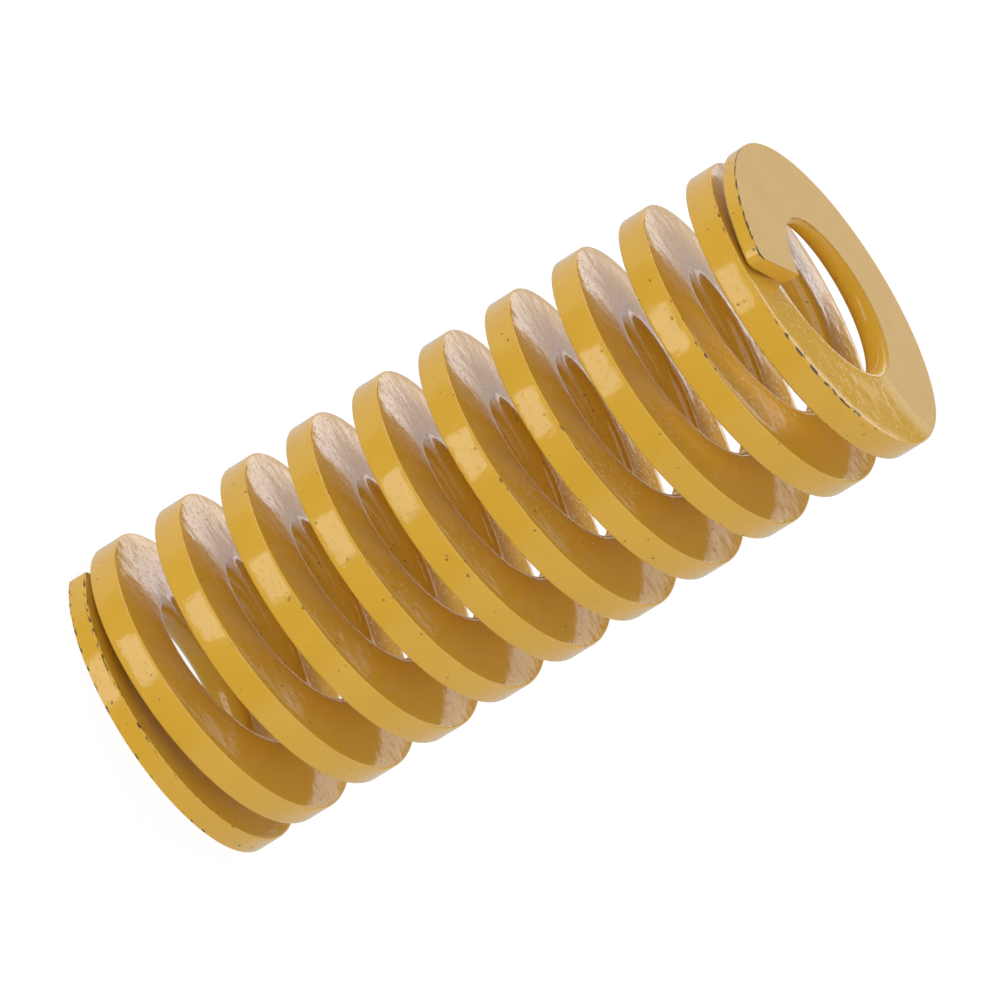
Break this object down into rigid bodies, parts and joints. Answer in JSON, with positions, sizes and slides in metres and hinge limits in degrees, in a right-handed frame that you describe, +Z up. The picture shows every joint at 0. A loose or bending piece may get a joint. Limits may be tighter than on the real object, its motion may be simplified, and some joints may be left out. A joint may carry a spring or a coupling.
{
  "type": "die spring",
  "caption": "Compression die spring wound from flat wire with a broad section, closed ends ground square, painted coil with bare ground end faces and an open bore for a guide rod.",
  "frame": {"origin": "centre of the ground foot, on the axis of the coil", "axes": "+Z up along the axis of the coil; the wire starts at the foot 200 degrees round from +X and climbs as a right-hand helix"},
  "size_m": [0.025, 0.025, 0.06],
  "materials": {
    "painted_spring_steel": "glossy ochre paint over spring steel, with the two end faces ground flat"
  },
  "bodies": {
    "root": {"die_spring": "painted_spring_steel"}
  },
  "joints": []
}
